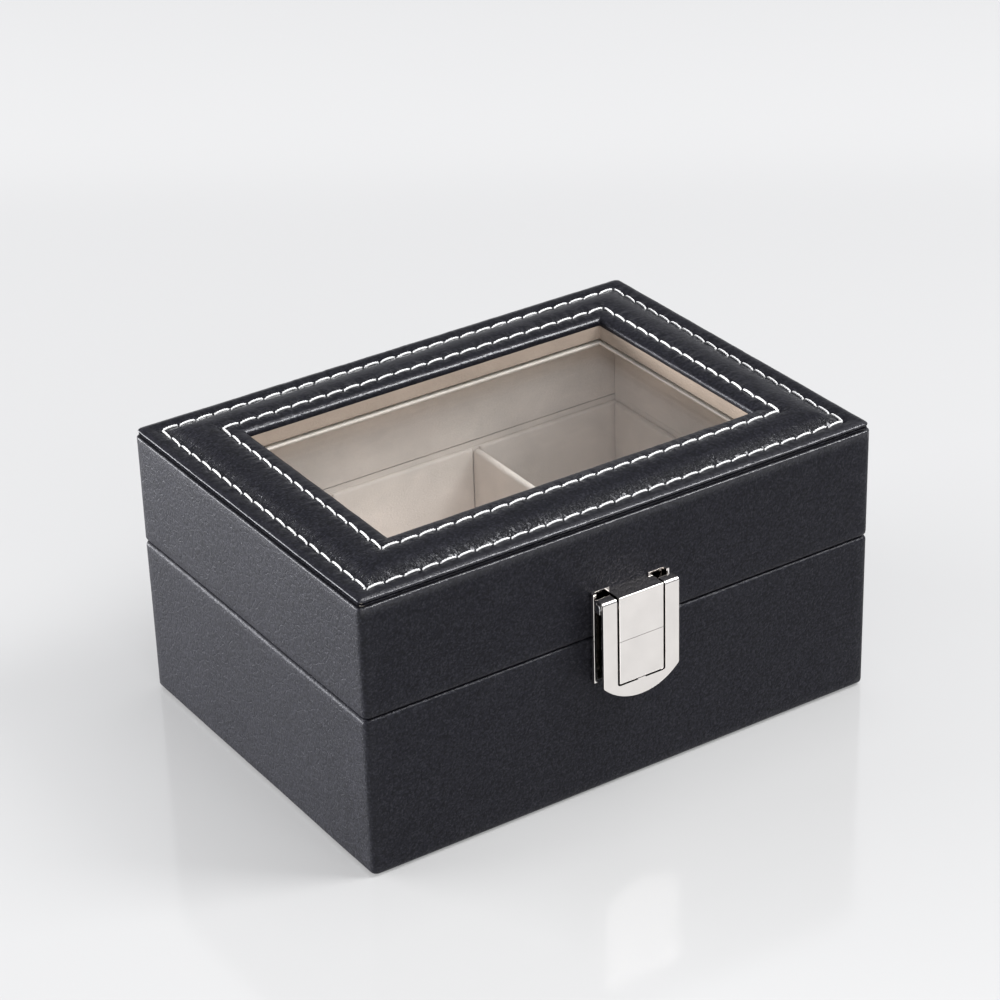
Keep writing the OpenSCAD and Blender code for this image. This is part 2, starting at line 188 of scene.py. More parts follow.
def band_faces(rows, columns, closed_rows, closed_columns):
    faces = []
    for i in range(rows if closed_rows else rows - 1):
        for j in range(columns if closed_columns else columns - 1):
            a, b = i, (i + 1) % rows
            c, d = j, (j + 1) % columns
            faces.append((a * columns + c, a * columns + d, b * columns + d, b * columns + c))
    return faces


def arc_length(path):
    """The distance along a path at each of its points."""
    return np.concatenate([[0], np.cumsum(np.linalg.norm(np.diff(path, axis=0), axis=1))])


def unit(rows):
    return rows / np.linalg.norm(rows, axis=1)[:, None]


def smooth_path(points, spacing):
    """A Catmull-Rom curve through points, with points at an even spacing along it."""
    p = np.array(points, float)
    p = np.vstack([2 * p[0] - p[1], p, 2 * p[-1] - p[-2]])
    t = np.linspace(0, 1, 12, endpoint=False)[:, None]
    parts = []
    for a, b, c, d in zip(p, p[1:], p[2:], p[3:]):
        square, cube = 2 * a - 5 * b + 4 * c - d, 3 * b - a - 3 * c + d
        parts.append(0.5 * (2 * b + (c - a) * t + square * t**2 + cube * t**3))
    dense = np.vstack(parts + [p[-2:-1]])
    arc = arc_length(dense)
    s = np.linspace(0, arc[-1], max(2, round(arc[-1] / spacing)) + 1)
    return np.column_stack([np.interp(s, arc, dense[:, k]) for k in range(dense.shape[1])])


def rounded_path(corners, parts=5):
    """A polyline of (across, up, radius) corners, with each corner rounded to its radius."""
    out = []
    n = len(corners)
    for i, (x, z, r) in enumerate(corners):
        here = np.array([x, z])
        before = np.array(corners[i - 1][:2]) - here
        after = np.array(corners[(i + 1) % n][:2]) - here
        if r <= 0:
            out.append(here)
            continue
        u, v = before / np.linalg.norm(before), after / np.linalg.norm(after)
        half = math.acos(max(-1, min(1, u @ v))) / 2
        reach = r / math.tan(half)
        centre = here + (u + v) / np.linalg.norm(u + v) * r / math.sin(half)
        a = here + u * reach - centre
        b = here + v * reach - centre
        turn = math.atan2(a[0] * b[1] - a[1] * b[0], a @ b)
        for k in range(parts + 1):
            w = turn * k / parts
            c, s = math.cos(w), math.sin(w)
            out.append(centre + np.array([a[0] * c - a[1] * s, a[0] * s + a[1] * c]))
    return [tuple(p) for p in out]


def split_path(points, spacing):
    """A closed polyline with its long straight runs cut into parts no longer than the spacing."""
    out = []
    for a, b in zip(points, points[1:] + points[:1]):
        a, b = np.array(a), np.array(b)
        count = max(1, math.ceil(np.linalg.norm(b - a) / spacing))
        out += [tuple(a + (b - a) * k / count) for k in range(count)]
    return out


def wobble(points, size, amount, seed=0.0):
    """Smooth random numbers, one for each point, that change over about that size."""
    shift = Vector((seed, seed * 1.7, seed * 2.3))
    return np.array([noise.noise(Vector(p) / size + shift) for p in points]) * amount


def bell(value, centre, width):
    return np.exp(-(((value - centre) / width) ** 2))


def soft_box(lo, hi, radius, spacing=3.0, rough=0.05, seed=0.0):
    """Vertices and faces of a box with rounded edges, its faces a little uneven."""
    lo, hi = np.array(lo, float), np.array(hi, float)
    r = min(radius, *((hi - lo) / 2.02))
    lines = []
    for k in range(3):
        bend = r * (1 - np.cos(np.linspace(0, math.pi / 2, 5)))
        count = max(2, math.ceil((hi[k] - lo[k] - 2 * r) / spacing) + 1)
        middle = np.linspace(lo[k] + r, hi[k] - r, count)
        lines.append(np.concatenate([lo[k] + bend[:-1], middle, (hi[k] - bend[:-1])[::-1]]))
    verts, faces = [], []
    for k in range(3):
        a, b = (k + 1) % 3, (k + 2) % 3
        for end in (lo[k], hi[k]):
            start = len(verts)
            for p in lines[a]:
                for q in lines[b]:
                    v = np.zeros(3)
                    v[k], v[a], v[b] = end, p, q
                    core = np.clip(v, lo + r, hi - r)
                    away = v - core
                    verts.append(core + away / np.linalg.norm(away) * r)
            for f in band_faces(len(lines[a]), len(lines[b]), False, False):
                faces.append(tuple(start + i for i in f))
    verts = np.array(verts)
    core = np.clip(verts, lo + r, hi - r)
    out = (verts - core) / r
    verts = verts + out * (wobble(verts, 9.0, rough, seed) - rough)[:, None]
    return verts, faces


def combine(thing, other, operation):
    """Adds another mesh object to thing, or takes it away, and uses it up."""
    bpy.context.view_layer.update()
    modifier = thing.modifiers.new("combine", "BOOLEAN")
    modifier.operation = operation
    modifier.solver = "EXACT"
    modifier.object = other
    graph = bpy.context.evaluated_depsgraph_get()
    result = bpy.data.meshes.new_from_object(thing.evaluated_get(graph), depsgraph=graph)
    thing.modifiers.remove(modifier)
    old, spent = thing.data, other.data
    thing.data = result
    bpy.data.objects.remove(other)
    bpy.data.meshes.remove(old)
    bpy.data.meshes.remove(spent)


def cut(thing, boxes):
    """Takes boxes, given by their corners in millimetres, away from a piece."""
    for lo, hi in boxes:
        bm = bmesh.new()
        bmesh.ops.create_cube(bm, size=1)
        lo, hi = Vector(lo), Vector(hi)
        for v in bm.verts:
            v.co = Vector(((v.co[k] + 0.5) * (hi[k] - lo[k]) + lo[k]) * MM for k in range(3))
        combine(thing, stored("cutter", bm), "DIFFERENCE")
        thing.data.name = thing.name


# ------------ materials


class Look:
    """A node material under construction, with short ways to add what most of these need."""

    def __init__(self, name):
        self.material = bpy.data.materials.new(name)
        self.material.use_nodes = True
        self.tree = self.material.node_tree
        self.shader = self.tree.nodes["Principled BSDF"]
        self.place = self.add("ShaderNodeTexCoord").outputs["Object"]

    def add(self, kind, **settings):
        node = self.tree.nodes.new(kind)
        for key, value in settings.items():
            setattr(node, key, value)
        return node

    def join(self, a, b):
        self.tree.links.new(a, b)

    def split(self):
        node = self.add("ShaderNodeSeparateXYZ")
        self.join(self.place, node.inputs[0])
        return node.outputs

    def stretch(self, scale):
        node = self.add("ShaderNodeMapping")
        node.inputs["Scale"].default_value = scale
        self.join(self.place, node.inputs["Vector"])
        return node.outputs["Vector"]

    def texture(self, kind, size, where=None, **settings):
        """A texture with features of about that size in millimetres."""
        node = self.add(kind, **settings)
        node.inputs["Scale"].default_value = 1 / (size * MM)
        self.join(where or self.place, node.inputs["Vector"])
        return node

    def noise(self, size, detail=2.0, where=None, distortion=0.0):
        node = self.texture("ShaderNodeTexNoise", size, where)
        node.inputs["Detail"].default_value = detail
        node.inputs["Distortion"].default_value = distortion
        return node.outputs["Fac"]

    def cells(self, size, where=None, feature="F1"):
        return self.texture("ShaderNodeTexVoronoi", size, where, feature=feature).outputs["Distance"]

    def warped(self, size, amount):
        """The place, pushed about by noise, so that cells aren't all alike."""
        scale = self.add("ShaderNodeVectorMath", operation="SCALE")
        scale.inputs["Scale"].default_value = amount * MM
        self.join(self.texture("ShaderNodeTexNoise", size).outputs["Color"], scale.inputs[0])
        total = self.add("ShaderNodeVectorMath", operation="ADD")
        self.join(self.place, total.inputs[0])
        self.join(scale.outputs[0], total.inputs[1])
        return total.outputs[0]

    def attribute(self, name):
        node = self.add("ShaderNodeAttribute", attribute_name=name)
        return node.outputs["Fac"]

    def ramp(self, value, stops):
        """Numbers or colours along a value."""
        node = self.add("ShaderNodeValToRGB")
        while len(node.color_ramp.elements) < len(stops):
            node.color_ramp.elements.new(0.5)
        for element, (at, colour) in zip(node.color_ramp.elements, stops):
            element.position = at
            element.color = (colour,) * 3 + (1,) if isinstance(colour, (int, float)) else (*colour, 1)
        self.join(value, node.inputs["Fac"])
        return node.outputs["Color"]

    def math(self, operation, a, b):
        node = self.add("ShaderNodeMath", operation=operation)
        for socket, value in zip(node.inputs, (a, b)):
            if isinstance(value, (int, float)):
                socket.default_value = value
            else:
                self.join(value, socket)
        return node.outputs[0]

    def mix(self, factor, a, b, blend="MIX"):
        node = self.add("ShaderNodeMix", data_type="RGBA", blend_type=blend)
        for socket, value in ((node.inputs[0], factor), (node.inputs[6], a), (node.inputs[7], b)):
            if isinstance(value, (int, float)):
                socket.default_value = value
            elif isinstance(value, tuple):
                socket.default_value = (*value, 1)
            else:
                self.join(value, socket)
        return node.outputs[2]

    def bump(self, *layers):
        """Layers of (height, depth in millimetres), the coarsest first."""
        normal = None
        for height, depth in layers:
            node = self.add("ShaderNodeBump")
            node.inputs["Strength"].default_value = 1.0
            node.inputs["Distance"].default_value = depth * MM
            self.join(height, node.inputs["Height"])
            if normal:
                self.join(normal, node.inputs["Normal"])
            normal = node.outputs["Normal"]
        self.join(normal, self.shader.inputs["Normal"])
        return normal

    def blend(self, factor, a, b):
        """Shader a, or b where the factor is 1."""
        node = self.add("ShaderNodeMixShader")
        for value, socket in zip((factor, a, b), node.inputs):
            self.join(value, socket)
        return node.outputs[0]

    def show(self, shader):
        self.join(shader, self.tree.nodes["Material Output"].inputs["Surface"])

    def set(self, **values):
        for key, value in values.items():
            socket = self.shader.inputs[key.replace("_", " ")]
            if isinstance(value, tuple):
                socket.default_value = (*value, 1)
            elif isinstance(value, (int, float)):
                socket.default_value = value
            else:
                self.join(value, socket)


LEATHER_DARK = (0.0055, 0.0055, 0.0085)
LEATHER_LIGHT = (0.0085, 0.0084, 0.0125)
LEATHER_MOTTLE = (0.017, 0.0168, 0.021)
LEATHER_HOLLOW_SHADE = (0.002, 0.002, 0.0028)
LEATHER_FLECK = (0.03, 0.03, 0.037)
LEATHER_WEAR_AND_HIGHLIGHT = (0.035, 0.0345, 0.04)


def leather(name, grain, depth, gloss, creased=False):
    """Black coated leather: an irregular pebble grain with shade painted into its grooves, a broad soft sheen, and
    glossier edges, lightened by wear and by a painted highlight.
    """
    look = Look(name)
    warped = look.warped(2.5, 1.2)
    pebbles = look.cells(grain, warped, "SMOOTH_F1")
    creases = look.cells(grain * 3.2, warped, "DISTANCE_TO_EDGE")
    fine = look.noise(grain * 0.35, 3)
    patches = look.noise(26, 4)
    mottle = look.noise(5, 3)
    flecks = look.noise(grain * 0.7, 2)
    base = look.ramp(patches, [(0.3, LEATHER_DARK), (0.7, LEATHER_LIGHT)])
    base = look.mix(look.ramp(mottle, [(0.4, 0.0), (0.75, 0.35)]), base, LEATHER_MOTTLE)
    # painted shade: the grooves between the pebbles are darker
    base = look.mix(look.ramp(pebbles, [(0.2, 0.0), (0.62, 0.85)]), base, LEATHER_HOLLOW_SHADE)
    base = look.mix(look.ramp(flecks, [(0.52, 0.0), (0.72, 0.6)]), base, LEATHER_FLECK)
    edge = look.attribute("edge")
    # the edges are lighter: partly wear, partly a painted highlight along the folds
    wear_and_highlight = look.math("MULTIPLY", edge, look.noise(1.6, 4))
    base = look.mix(look.ramp(wear_and_highlight, [(0.2, 0.0), (0.7, 0.6)]), base, LEATHER_WEAR_AND_HIGHLIGHT)
    rough = look.math("ADD", look.math("MULTIPLY", patches, 0.12), gloss - 0.06)
    rough = look.math("ADD", look.math("MULTIPLY", pebbles, 0.1), rough)
    rough = look.math("SUBTRACT", rough, look.math("MULTIPLY", edge, 0.14))
    coat = look.math("MULTIPLY", edge, look.ramp(look.noise(1.3, 3), [(0.3, 0.55), (0.6, 1.0)]))
    layers = [
        (look.ramp(creases, [(0.0, 0.0), (0.12, 1.0)]), depth * 0.5),
        (pebbles, depth),
        (fine, depth * 0.45),
    ]
    if creased:
        for crease, scale in (("crease_x", (1.0, 0.4, 0.4)), ("crease_y", (0.4, 1.0, 0.4))):
            near_row = look.attribute(crease)
            rough = look.math("SUBTRACT", rough, look.math("MULTIPLY", near_row, 0.2))
            coat = look.math("ADD", coat, near_row)
            ripples = look.noise(0.7, 2, look.stretch(scale), 0.8)
            folds = look.ramp(ripples, [(0.42, 0.0), (0.6, 1.0)])
            layers.insert(0, (look.math("MULTIPLY", folds, near_row), 0.62))
    look.set(
        Base_Color=base,
        Roughness=rough,
        Specular_IOR_Level=0.17,
        Specular_Tint=(0.85, 0.87, 1.0),
        Coat_Weight=coat,
        Coat_Roughness=0.2,
        Coat_IOR=1.5,
    )
    look.join(look.bump(*layers), look.shader.inputs["Coat Normal"])
    return look.material


def velvet(name, colour):
    """Short-pile velvet: a nap that catches light along the pile's lean, brushed marks and lint."""
    look = Look(name)
    dark, light, pale, deep = (tuple(c * k for c in colour) for k in (0.88, 1.08, 1.16, 0.7))
    fibres = look.noise(0.22, 4)
    streaks = look.noise(1.0, 3, look.stretch((0.12, 0.12, 0.45)))
    brushed = look.noise(14, 3, distortion=0.6)
    base = look.ramp(brushed, [(0.25, dark), (0.55, colour), (0.8, light)])
    base = look.mix(look.ramp(fibres, [(0.3, 0.3), (0.62, 0.0)]), base, deep)
    base = look.mix(look.ramp(streaks, [(0.55, 0.0), (0.8, 0.25)]), base, pale)
    look.set(
        Base_Color=base,
        Roughness=look.ramp(brushed, [(0.2, 0.82), (0.8, 0.95)]),
        Specular_IOR_Level=0.2,
        Sheen_Weight=0.35,
        Sheen_Roughness=0.35,
        Sheen_Tint=(0.95, 0.92, 0.88),
    )
    look.bump((brushed, 0.25), (look.noise(0.7, 2), 0.1), (fibres, 0.12))
    return look.material


RECESS_FRONT, RECESS_HALF, RECESS_TOP = -63.3, 11.2, 60.2  # how far the shade painted inside the trays reaches
RECESS_SHADE_COLOUR = (0.05, 0.045, 0.04)


def nickel(name="nickel", colour=(0.93, 0.89, 0.855), roughness=0.075, painted_recess_shade=False):
    """Polished nickel plate: a faint cloudiness, fine polishing lines and a few scratches. With the recess shade
    on, shade is painted dark into the colour behind the trays' flanges."""
    look = Look(name)
    cloud = look.noise(7, 4)
    lines = look.noise(0.35, 2, look.stretch((1.0, 1.0, 0.07)))
    scratches = look.noise(2.6, 5, look.stretch((0.16, 1.0, 1.4)), 1.2)
    dark = tuple(c * 0.93 for c in colour)
    base = look.ramp(cloud, [(0.3, dark), (0.7, colour)])
    rough = look.math("ADD", look.math("MULTIPLY", cloud, 0.08), roughness - 0.04)
    rough = look.math("ADD", look.math("MULTIPLY", lines, 0.06), rough)
    # painted shade: the metal inside the trays is darkened
    if painted_recess_shade:
        x, y, z = look.split()
        behind = look.math("GREATER_THAN", y, RECESS_FRONT * MM)
        within = look.math("LESS_THAN", look.math("ABSOLUTE", x, 0), RECESS_HALF * MM)
        below = look.math("LESS_THAN", z, RECESS_TOP * MM)
        inside = look.math("MULTIPLY", look.math("MULTIPLY", behind, within), below)
        base = look.mix(inside, base, RECESS_SHADE_COLOUR)
    look.set(Base_Color=base, Metallic=1.0, Roughness=rough)
    thin = look.ramp(scratches, [(0.47, 0.0), (0.5, 1.0), (0.53, 0.0)])
    look.bump((cloud, 0.03), (lines, 0.004), (thin, 0.002))
    return look.material


def pane():
    """A clear polished sheet: it lets light straight through and mirrors at low angles."""
    look = Look("pane")
    clear = look.add("ShaderNodeBsdfTransparent")
    haze = look.noise(30, 3)
    tint = look.ramp(haze, [(0.3, (0.955, 0.965, 0.96)), (0.7, (0.975, 0.98, 0.978))])
    look.join(tint, clear.inputs["Color"])
    look.set(Base_Color=(0.9, 0.93, 0.93), Metallic=1.0)
    look.set(Roughness=look.ramp(haze, [(0.3, 0.02), (0.7, 0.05)]))
    slope = look.add("ShaderNodeLayerWeight").outputs["Facing"]
    mirrored = look.math("ADD", look.math("MULTIPLY", look.math("POWER", slope, 5.0), 0.7), 0.025)
    look.show(look.blend(mirrored, clear.outputs[0], look.shader.outputs[0]))
    return look.material


def thread():
    """White twisted polyester: fine fibres along the ply, with shade painted slightly grey into the hollows
    between them.
    """
    look = Look("thread")
    fibres = look.noise(0.12, 3)
    grey = look.noise(9, 2)
    base = look.ramp(grey, [(0.3, (0.86, 0.86, 0.86)), (0.7, (0.95, 0.95, 0.95))])
    # painted shade: grey in the hollows between the fibres
    base = look.mix(look.ramp(fibres, [(0.3, 0.4), (0.6, 0.0)]), base, (0.62, 0.62, 0.62))
    look.set(Base_Color=base, Roughness=look.ramp(fibres, [(0, 0.5), (1, 0.7)]), Sheen_Weight=0.3)
    look.bump((fibres, 0.03))
    return look.material


def plain(name, dark, light, size, rough, depth, stretch=None):
    """A hidden or modest surface: two shades of one colour over noise, with a matching relief."""
    look = Look(name)
    where = look.stretch(stretch) if stretch else None
    grain = look.noise(size, 5, where)
    broad = look.noise(size * 12, 3)
    base = look.ramp(grain, [(0.3, dark), (0.7, light)])
    base = look.mix(look.ramp(broad, [(0.3, 0.25), (0.7, 0.0)]), base, tuple(c * 0.7 for c in dark))
    look.set(Base_Color=base, Roughness=look.ramp(grain, [(0, rough - 0.08), (1, rough + 0.05)]))
    look.bump((grain, depth))
    return look.material


MATERIALS = {
    "leather": leather("leather", 0.75, 0.07, 0.5),
    "soft_leather": leather("soft_leather", 0.85, 0.04, 0.34, True),
    "velvet": velvet("velvet", (0.875, 0.795, 0.74)),
    # the lining's velvet in a darker copy: painted shade on the band round the window
    "velvet_painted_shade": velvet("velvet_painted_shade", (0.37, 0.3, 0.245)),
    "nickel": nickel(),
    # nickel with shade painted into the trays' recesses
    "tray_nickel": nickel("tray_nickel", painted_recess_shade=True),
    "steel": nickel("steel", (0.62, 0.62, 0.63), 0.2),
    "pane": pane(),
    "thread": thread(),
    "board_wood": plain(
        "board_wood", (0.36, 0.24, 0.14), (0.55, 0.41, 0.26), 0.6, 0.8, 0.08, (0.3, 0.3, 1)
    ),
    "card": plain("card", (0.32, 0.29, 0.25), (0.45, 0.42, 0.37), 0.4, 0.85, 0.05),
    "foam": plain("foam", (0.7, 0.66, 0.54), (0.84, 0.81, 0.71), 0.5, 0.9, 0.2),
    "pad_cloth": plain("pad_cloth", (0.008, 0.008, 0.009), (0.03, 0.03, 0.033), 0.3, 0.92, 0.12),
}

for name, node in frame["nodes"].items():
    for part in frame["record"]["subparts"]:
        if part["node"] == name:
            node.data.materials.clear()
            node.data.materials.append(MATERIALS[part["material_slot"]])


# ------------ leather round the walls


LEAF_CLEARANCE = 0.06


def leather_wrap(name, corners, body, node, rim_shine, recess):
    """One skin of leather from a closed profile; rim_shine holds (height, shine) for each polished rim."""
    rows, faces = loft(split_path(rounded_path(corners), 2.2), (76, 56, 5))
    verts = rows.reshape(-1, 3)
    gap_x, gap_y = HALF_X - abs(verts[:, 0]), HALF_Y - abs(verts[:, 1])
    outside = np.minimum(gap_x, gap_y) < 0.3
    swell = wobble(verts, 34.0, 0.13, 3.1) + wobble(verts, 7.0, 0.035, 8.2)
    away = verts[:, :2].copy()
    away[gap_x < gap_y, 1] = 0
    away[gap_x >= gap_y, 0] = 0
    verts[:, :2] += np.sign(away) * (swell * outside)[:, None]
    thing = piece(name, verts, faces, body, "leather", [node], sharp=60)
    cut(thing, recess)
    places = np.array([v.co for v in thing.data.vertices]) / MM
    gap_x, gap_y = HALF_X - abs(places[:, 0]), HALF_Y - abs(places[:, 1])
    upright = np.exp(-((gap_x**2 + gap_y**2) / 6.0))
    # the rims' shine: a glossier coat, and a lighter colour that is part wear, part painted highlight
    rims = sum(shine * bell(places[:, 2], z, 1.0) for z, shine in rim_shine)
    short_side = np.where(gap_x < gap_y, SHORT_SIDE_SHINE, 1.0)
    mark(thing, "edge", np.clip(0.15 * upright + rims * short_side, 0, 1))
    return thing


def mark(thing, name, values):
    attribute = thing.data.attributes.new(name, "FLOAT", "POINT")
    attribute.data.foreach_set("value", np.asarray(values, np.float32))


def hinge_recess(bottom, top):
    """Boxes that clear the hinge leaves out of a rim."""
    boxes = []
    for leaf in ("hinge_base_leaf_left", "hinge_base_leaf_right"):
        left, right = low(leaf)[0] - LEAF_CLEARANCE, high(leaf)[0] + LEAF_CLEARANCE
        boxes.append(((left, HALF_Y - WALL - 0.8, bottom), (right, HALF_Y + 1.5, top)))
    return boxes


leather_wrap(
    "base_leather",
    [
        (0, SHELL_BOTTOM, 1.0),
        (0, BASE_RIM, 1.2),
        (WALL, BASE_RIM, 0.35),
        (WALL, BASE_BOARDS_TOP, 0),
        (LEATHER, BASE_BOARDS_TOP, 0),
        (LEATHER, BOARDS_BOTTOM, 0),
        (TURN_UNDER, BOARDS_BOTTOM, 0),
        (TURN_UNDER, SHELL_BOTTOM, 0.3),
    ],
    "base",
    "base_leather_wrap",
    ((SHELL_BOTTOM, 0.3), (BASE_RIM, 0.25)),
    hinge_recess(BASE_BOARDS_TOP, BASE_RIM + 1),
)
leather_wrap(
    "lid_leather",
    [
        (0, LID_RIM, 1.2),
        (0, WALL_TOP, 0.6),
        (WALL, WALL_TOP, 0),
        (WALL, LID_BOARDS_TOP, 0),
        (LEATHER, LID_BOARDS_TOP, 0),
        (LEATHER, LID_BOARDS_BOTTOM, 0),
        (WALL, LID_BOARDS_BOTTOM, 0),
        (WALL, LID_RIM, 0.35),
    ],
    "lid",
    "lid_leather_wrap",
    ((LID_RIM, 0.15), (WALL_TOP, 1.0)),
    hinge_recess(LID_RIM - 1, LID_BOARDS_BOTTOM),
)


# ------------ padded top

COVER_FOLD = [
    (1.25, 79.44), (1.22, 79.72), (0.8, 79.84), (0.6, 79.96), (0.8, 80.08), (1.18, 80.2), (1.12, 80.46),
    (0.7, 80.58), (0.48, 80.8), (0.6, 81.15), (1.0, 81.42),
]
COVER_TOP = [
    (1.0, 81.42), (1.6, 81.62), (2.5, 81.68), (3.6, 81.57), (4.7, 81.36), (5.5, 81.2), (6.8, 81.55),
    (8.6, 82.4), (10.5, 83.05), (12.5, 83.4), (14.5, 83.5), (16.2, 83.35), (17.5, 83.05), (18.6, 83.22),
    (20.0, 83.15),
    (21.3, 82.85), (22.1, 82.35), (22.45, 81.7), (22.5, 81.2), (22.5, 80.83),
]
COVER_UNDER = [
    (21.8, 80.83), (21.75, 81.3), (21.3, 81.9), (20.0, 82.3), (17.5, 82.25), (14.5, 82.7), (12.5, 82.6),
    (10.5, 82.25), (8.6, 81.6), (6.8, 80.85), (5.5, 80.56), (2.2, 80.6), (1.4, 80.45), (1.3, 79.46),
]
FOAM_TOP = [
    (1.5, 80.44), (2.2, 80.54), (5.5, 80.5), (6.8, 80.78), (8.6, 81.5), (10.5, 82.15), (12.5, 82.5),
    (14.5, 82.6), (17.5, 82.15), (20.0, 82.2), (21.2, 81.8), (21.6, 81.2), (21.65, 80.44),
]
PUCKER = 0.2  # how far the leather swells between two holes of a row
DIMPLE = 0.3  # how far it sinks at a hole
CREASE = 0.3  # how high the creases beside a row are
TOP_FACE = 80.6  # above this height the cover is its top face, which the stitches shape


def cover_corner(inset):
    """The padded roll turns the corner in a curve; the rows of stitches and the folds turn it sharply."""
    at = [0.5, 3.0, OUTER_ROW, 8.5, 11.5, 14.5, INNER_ROW, 20.0, FRAME_WIDTH]
    radius = [1.5, 1.3, 0.5, 1.8, 2.6, 1.8, 0.4, 0.4, 0.4]
    return float(np.interp(inset, at, radius))


def stitch_lines():
    """Each straight run of stitches: its row's inset, whether it lies along X, its side and its holes."""
    for inset in (OUTER_ROW, INNER_ROW):
        for along_x, length, half in ((True, HALF_X, HALF_Y), (False, HALF_Y, HALF_X)):
            run = 2 * (length - inset)
            count = math.floor(run / STITCH_PITCH)
            holes = np.linspace(-run / 2, run / 2, count + 1)
            for side in (-1, 1):
                yield inset, along_x, side * (half - inset), holes


def along_and_across(points, along_x):
    x, y = points[:, 0], points[:, 1]
    return (x, y) if along_x else (y, x)


def seam_relief(points):
    """How far the stitches pull the padded leather down, or let it swell, at each point."""
    relief = np.zeros(len(points))
    for _, along_x, line, holes in stitch_lines():
        u, v = along_and_across(points, along_x)
        pitch = holes[1] - holes[0]
        away = abs(v - line)
        beyond = np.clip(abs(u) - holes[-1], 0, None)
        phase = (u - holes[0]) / pitch
        bulge = 0.5 - 0.5 * np.cos(2 * math.pi * phase)
        fade = bell(away, 0, 1.9) * bell(beyond, 0, 0.8)
        relief += PUCKER * (bulge - 0.6) * fade
        nearest = abs(phase - np.round(phase)) * pitch
        relief -= DIMPLE * bell(nearest, 0, 0.5) * bell(away, 0, 0.6) * (beyond < 0.3)
    return relief


def seam_wrinkles(points):
    """Short creases that run out from the stitch holes, square to the row."""
    total = np.zeros(len(points))
    for number, (_, along_x, line, holes) in enumerate(stitch_lines()):
        u, v = along_and_across(points, along_x)
        away = abs(v - line)
        close = (away < 7) & (abs(u) < holes[-1] + 1)
        if not close.any():
            continue
        samples = np.column_stack([u[close] / 1.25, v[close] / 6.0, np.full(close.sum(), number * 7.7)])
        ripple = np.array([noise.noise(Vector(p)) for p in samples])
        length = np.array([noise.noise(Vector((p[0] * 0.45, 3.3, p[2]))) for p in samples])
        reach = 1.8 + 2.6 * np.clip(length + 0.35, 0, 1)
        from_seam = np.clip(away[close] / 0.8, 0, 1)
        total[close] += CREASE * ripple * bell(away[close], 0, reach) * from_seam
    return total


fold_path = smooth_path(COVER_FOLD, 0.2)
outside_path = np.vstack([fold_path[:-1], smooth_path(COVER_TOP, 0.42)])
profile = [tuple(p) for p in outside_path] + COVER_UNDER
rows, faces = loft(profile, (250, 180, 8), cover_corner)
shown = len(outside_path)
top = rows[:shown].reshape(-1, 3)
insets = np.repeat(outside_path[:, 0], rows.shape[1])
heights = np.repeat(outside_path[:, 1], rows.shape[1])
on_top = np.clip((heights - TOP_FACE) / 0.5, 0, 1)
relief = seam_relief(top)
between_rows = np.clip((insets - OUTER_ROW) / (INNER_ROW - OUTER_ROW), 0, 1)
padding = np.clip(np.sin(math.pi * between_rows), 0, 1)
unevenness = wobble(top, 22.0, 0.3, 5.5) * padding + wobble(top, 6.0, 0.1, 2.5)
top[:, 2] += on_top * (relief + seam_wrinkles(top) + unevenness)
rows[:shown] = top.reshape(shown, -1, 3)
cover = piece(
    "top_cover", rows, faces, "lid", "soft_leather", ["top_leather_cover"], sharp=75
)
places = np.array([v.co for v in cover.data.vertices]) / MM
inset_x, inset_y = HALF_X - abs(places[:, 0]), HALF_Y - abs(places[:, 1])
nearest_side = np.minimum(inset_x, inset_y)
# the polish of the folds; through the edge mark it also lightens their colour, as wear and a painted highlight
polished = bell(nearest_side, 1.2, 0.8) * (places[:, 2] > TOP_FACE) + bell(nearest_side, 21.8, 0.6)
mark(cover, "edge", polished * np.where(inset_x < inset_y, SHORT_SIDE_SHINE, 1.0))
creased = bell(nearest_side - OUTER_ROW, 1.6, 1.5) + 0.45 * bell(nearest_side, INNER_ROW, 1.6)
mark(cover, "crease_x", creased * (inset_y < inset_x))
mark(cover, "crease_y", 0.35 * creased * (inset_x <= inset_y))

foam_profile = [tuple(p) for p in smooth_path(FOAM_TOP, 0.8)]
foam_profile += [(21.65, CARD_TOP), (12.0, CARD_TOP), (1.5, CARD_TOP)]
rows, faces = loft(foam_profile, (60, 44, 5), cover_corner)
foam = piece("foam_padding", rows, faces, "lid", "foam", ["top_foam"])


# ------------ stitches


STITCH_GAP, GAP_SPREAD = 0.058, 0.015  # from a hole to the stitch's end, as shares of the pitch
SLANT, SLANT_SPREAD = 0.28, 0.08  # how far a stitch's ends lie to either side of its row
LIFT, LIFT_SPREAD = 0.14, 0.05  # how high its middle stands
SINK = 0.4  # how deep its ends are in the leather
STITCH_POINTS = 15
TURNS_PER_MM = 0.62
STRAND_OFFSET = 0.15
STRAND_RADIUS = 0.23
STRAND_SIDES = 7


def ply(path, phase):
    """One strand of a twisted thread along a path, as a closed tube's vertices and faces."""
    path = np.array(path)
    tangent = unit(np.gradient(path, axis=0))
    across = unit(np.cross(tangent, np.array([0.0, 0.0, 1.0])))
    normal = np.cross(across, tangent)
    arc = arc_length(path)
    twist = (2 * math.pi * TURNS_PER_MM * arc + phase)[:, None]
    centre = path + STRAND_OFFSET * (np.cos(twist) * across + np.sin(twist) * normal)
    share = arc / arc[-1]
    taper = (0.6 + 0.4 * np.sin(math.pi * share) ** 0.5)[:, None]
    verts = []
    for k in range(STRAND_SIDES):
        a = 2 * math.pi * k / STRAND_SIDES
        verts.append(centre + taper * STRAND_RADIUS * (math.cos(a) * across + math.sin(a) * normal))
    verts = np.array(verts).transpose(1, 0, 2).reshape(-1, 3)
    faces = band_faces(len(path), STRAND_SIDES, False, True)
    faces.append(tuple(range(STRAND_SIDES)))
    faces.append(tuple(len(verts) - 1 - k for k in range(STRAND_SIDES)))
    return verts, faces


